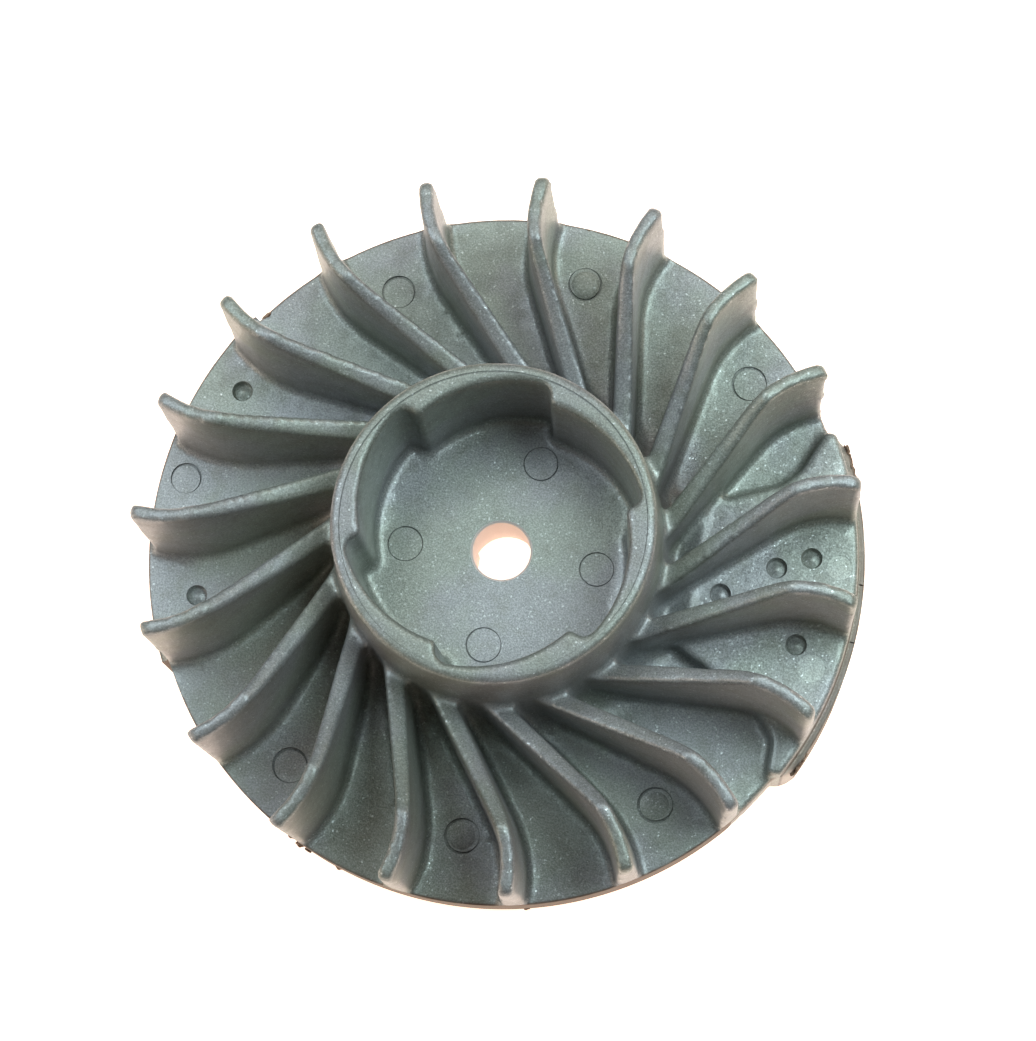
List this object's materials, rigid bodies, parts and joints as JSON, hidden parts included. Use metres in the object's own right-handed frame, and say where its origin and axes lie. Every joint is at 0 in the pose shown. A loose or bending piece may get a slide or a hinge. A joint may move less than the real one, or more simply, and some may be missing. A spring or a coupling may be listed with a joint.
{
  "type": "flywheel",
  "caption": "Small-engine flywheel: cast aluminium fan wheel with curved vanes, ratchet starter cup, tapered crank bore, cast-in magnet and laminated pole shoes.",
  "frame": {"origin": "on the crankshaft bore's axis, in the plane of the disc's fan-side face", "axes": "+Z along the crankshaft towards the fan side, +X towards the middle of the magnet"},
  "size_m": [0.1006, 0.098, 0.0354],
  "materials": {
    "cast_aluminium": "as cast, fine grain",
    "lamination_steel": "stamped edges, turned with the rim",
    "magnet_core": "ground",
    "rivet_steel": "plain"
  },
  "bodies": {
    "root": {"wheel_casting": "cast_aluminium", "magnet": "magnet_core", "leading_shoe_lamination_01": "lamination_steel", "leading_shoe_lamination_02": "lamination_steel", "leading_shoe_lamination_03": "lamination_steel", "leading_shoe_lamination_04": "lamination_steel", "leading_shoe_lamination_05": "lamination_steel", "leading_shoe_lamination_06": "lamination_steel", "leading_shoe_lamination_07": "lamination_steel", "leading_shoe_lamination_08": "lamination_steel", "leading_shoe_lamination_09": "lamination_steel", "leading_shoe_lamination_10": "lamination_steel", "leading_shoe_lamination_11": "lamination_steel", "trailing_shoe_lamination_01": "lamination_steel", "trailing_shoe_lamination_02": "lamination_steel", "trailing_shoe_lamination_03": "lamination_steel", "trailing_shoe_lamination_04": "lamination_steel", "trailing_shoe_lamination_05": "lamination_steel", "trailing_shoe_lamination_06": "lamination_steel", "trailing_shoe_lamination_07": "lamination_steel", "trailing_shoe_lamination_08": "lamination_steel", "trailing_shoe_lamination_09": "lamination_steel", "trailing_shoe_lamination_10": "lamination_steel", "trailing_shoe_lamination_11": "lamination_steel", "pole_shoe_rivets": "rivet_steel"}
  },
  "joints": []
}
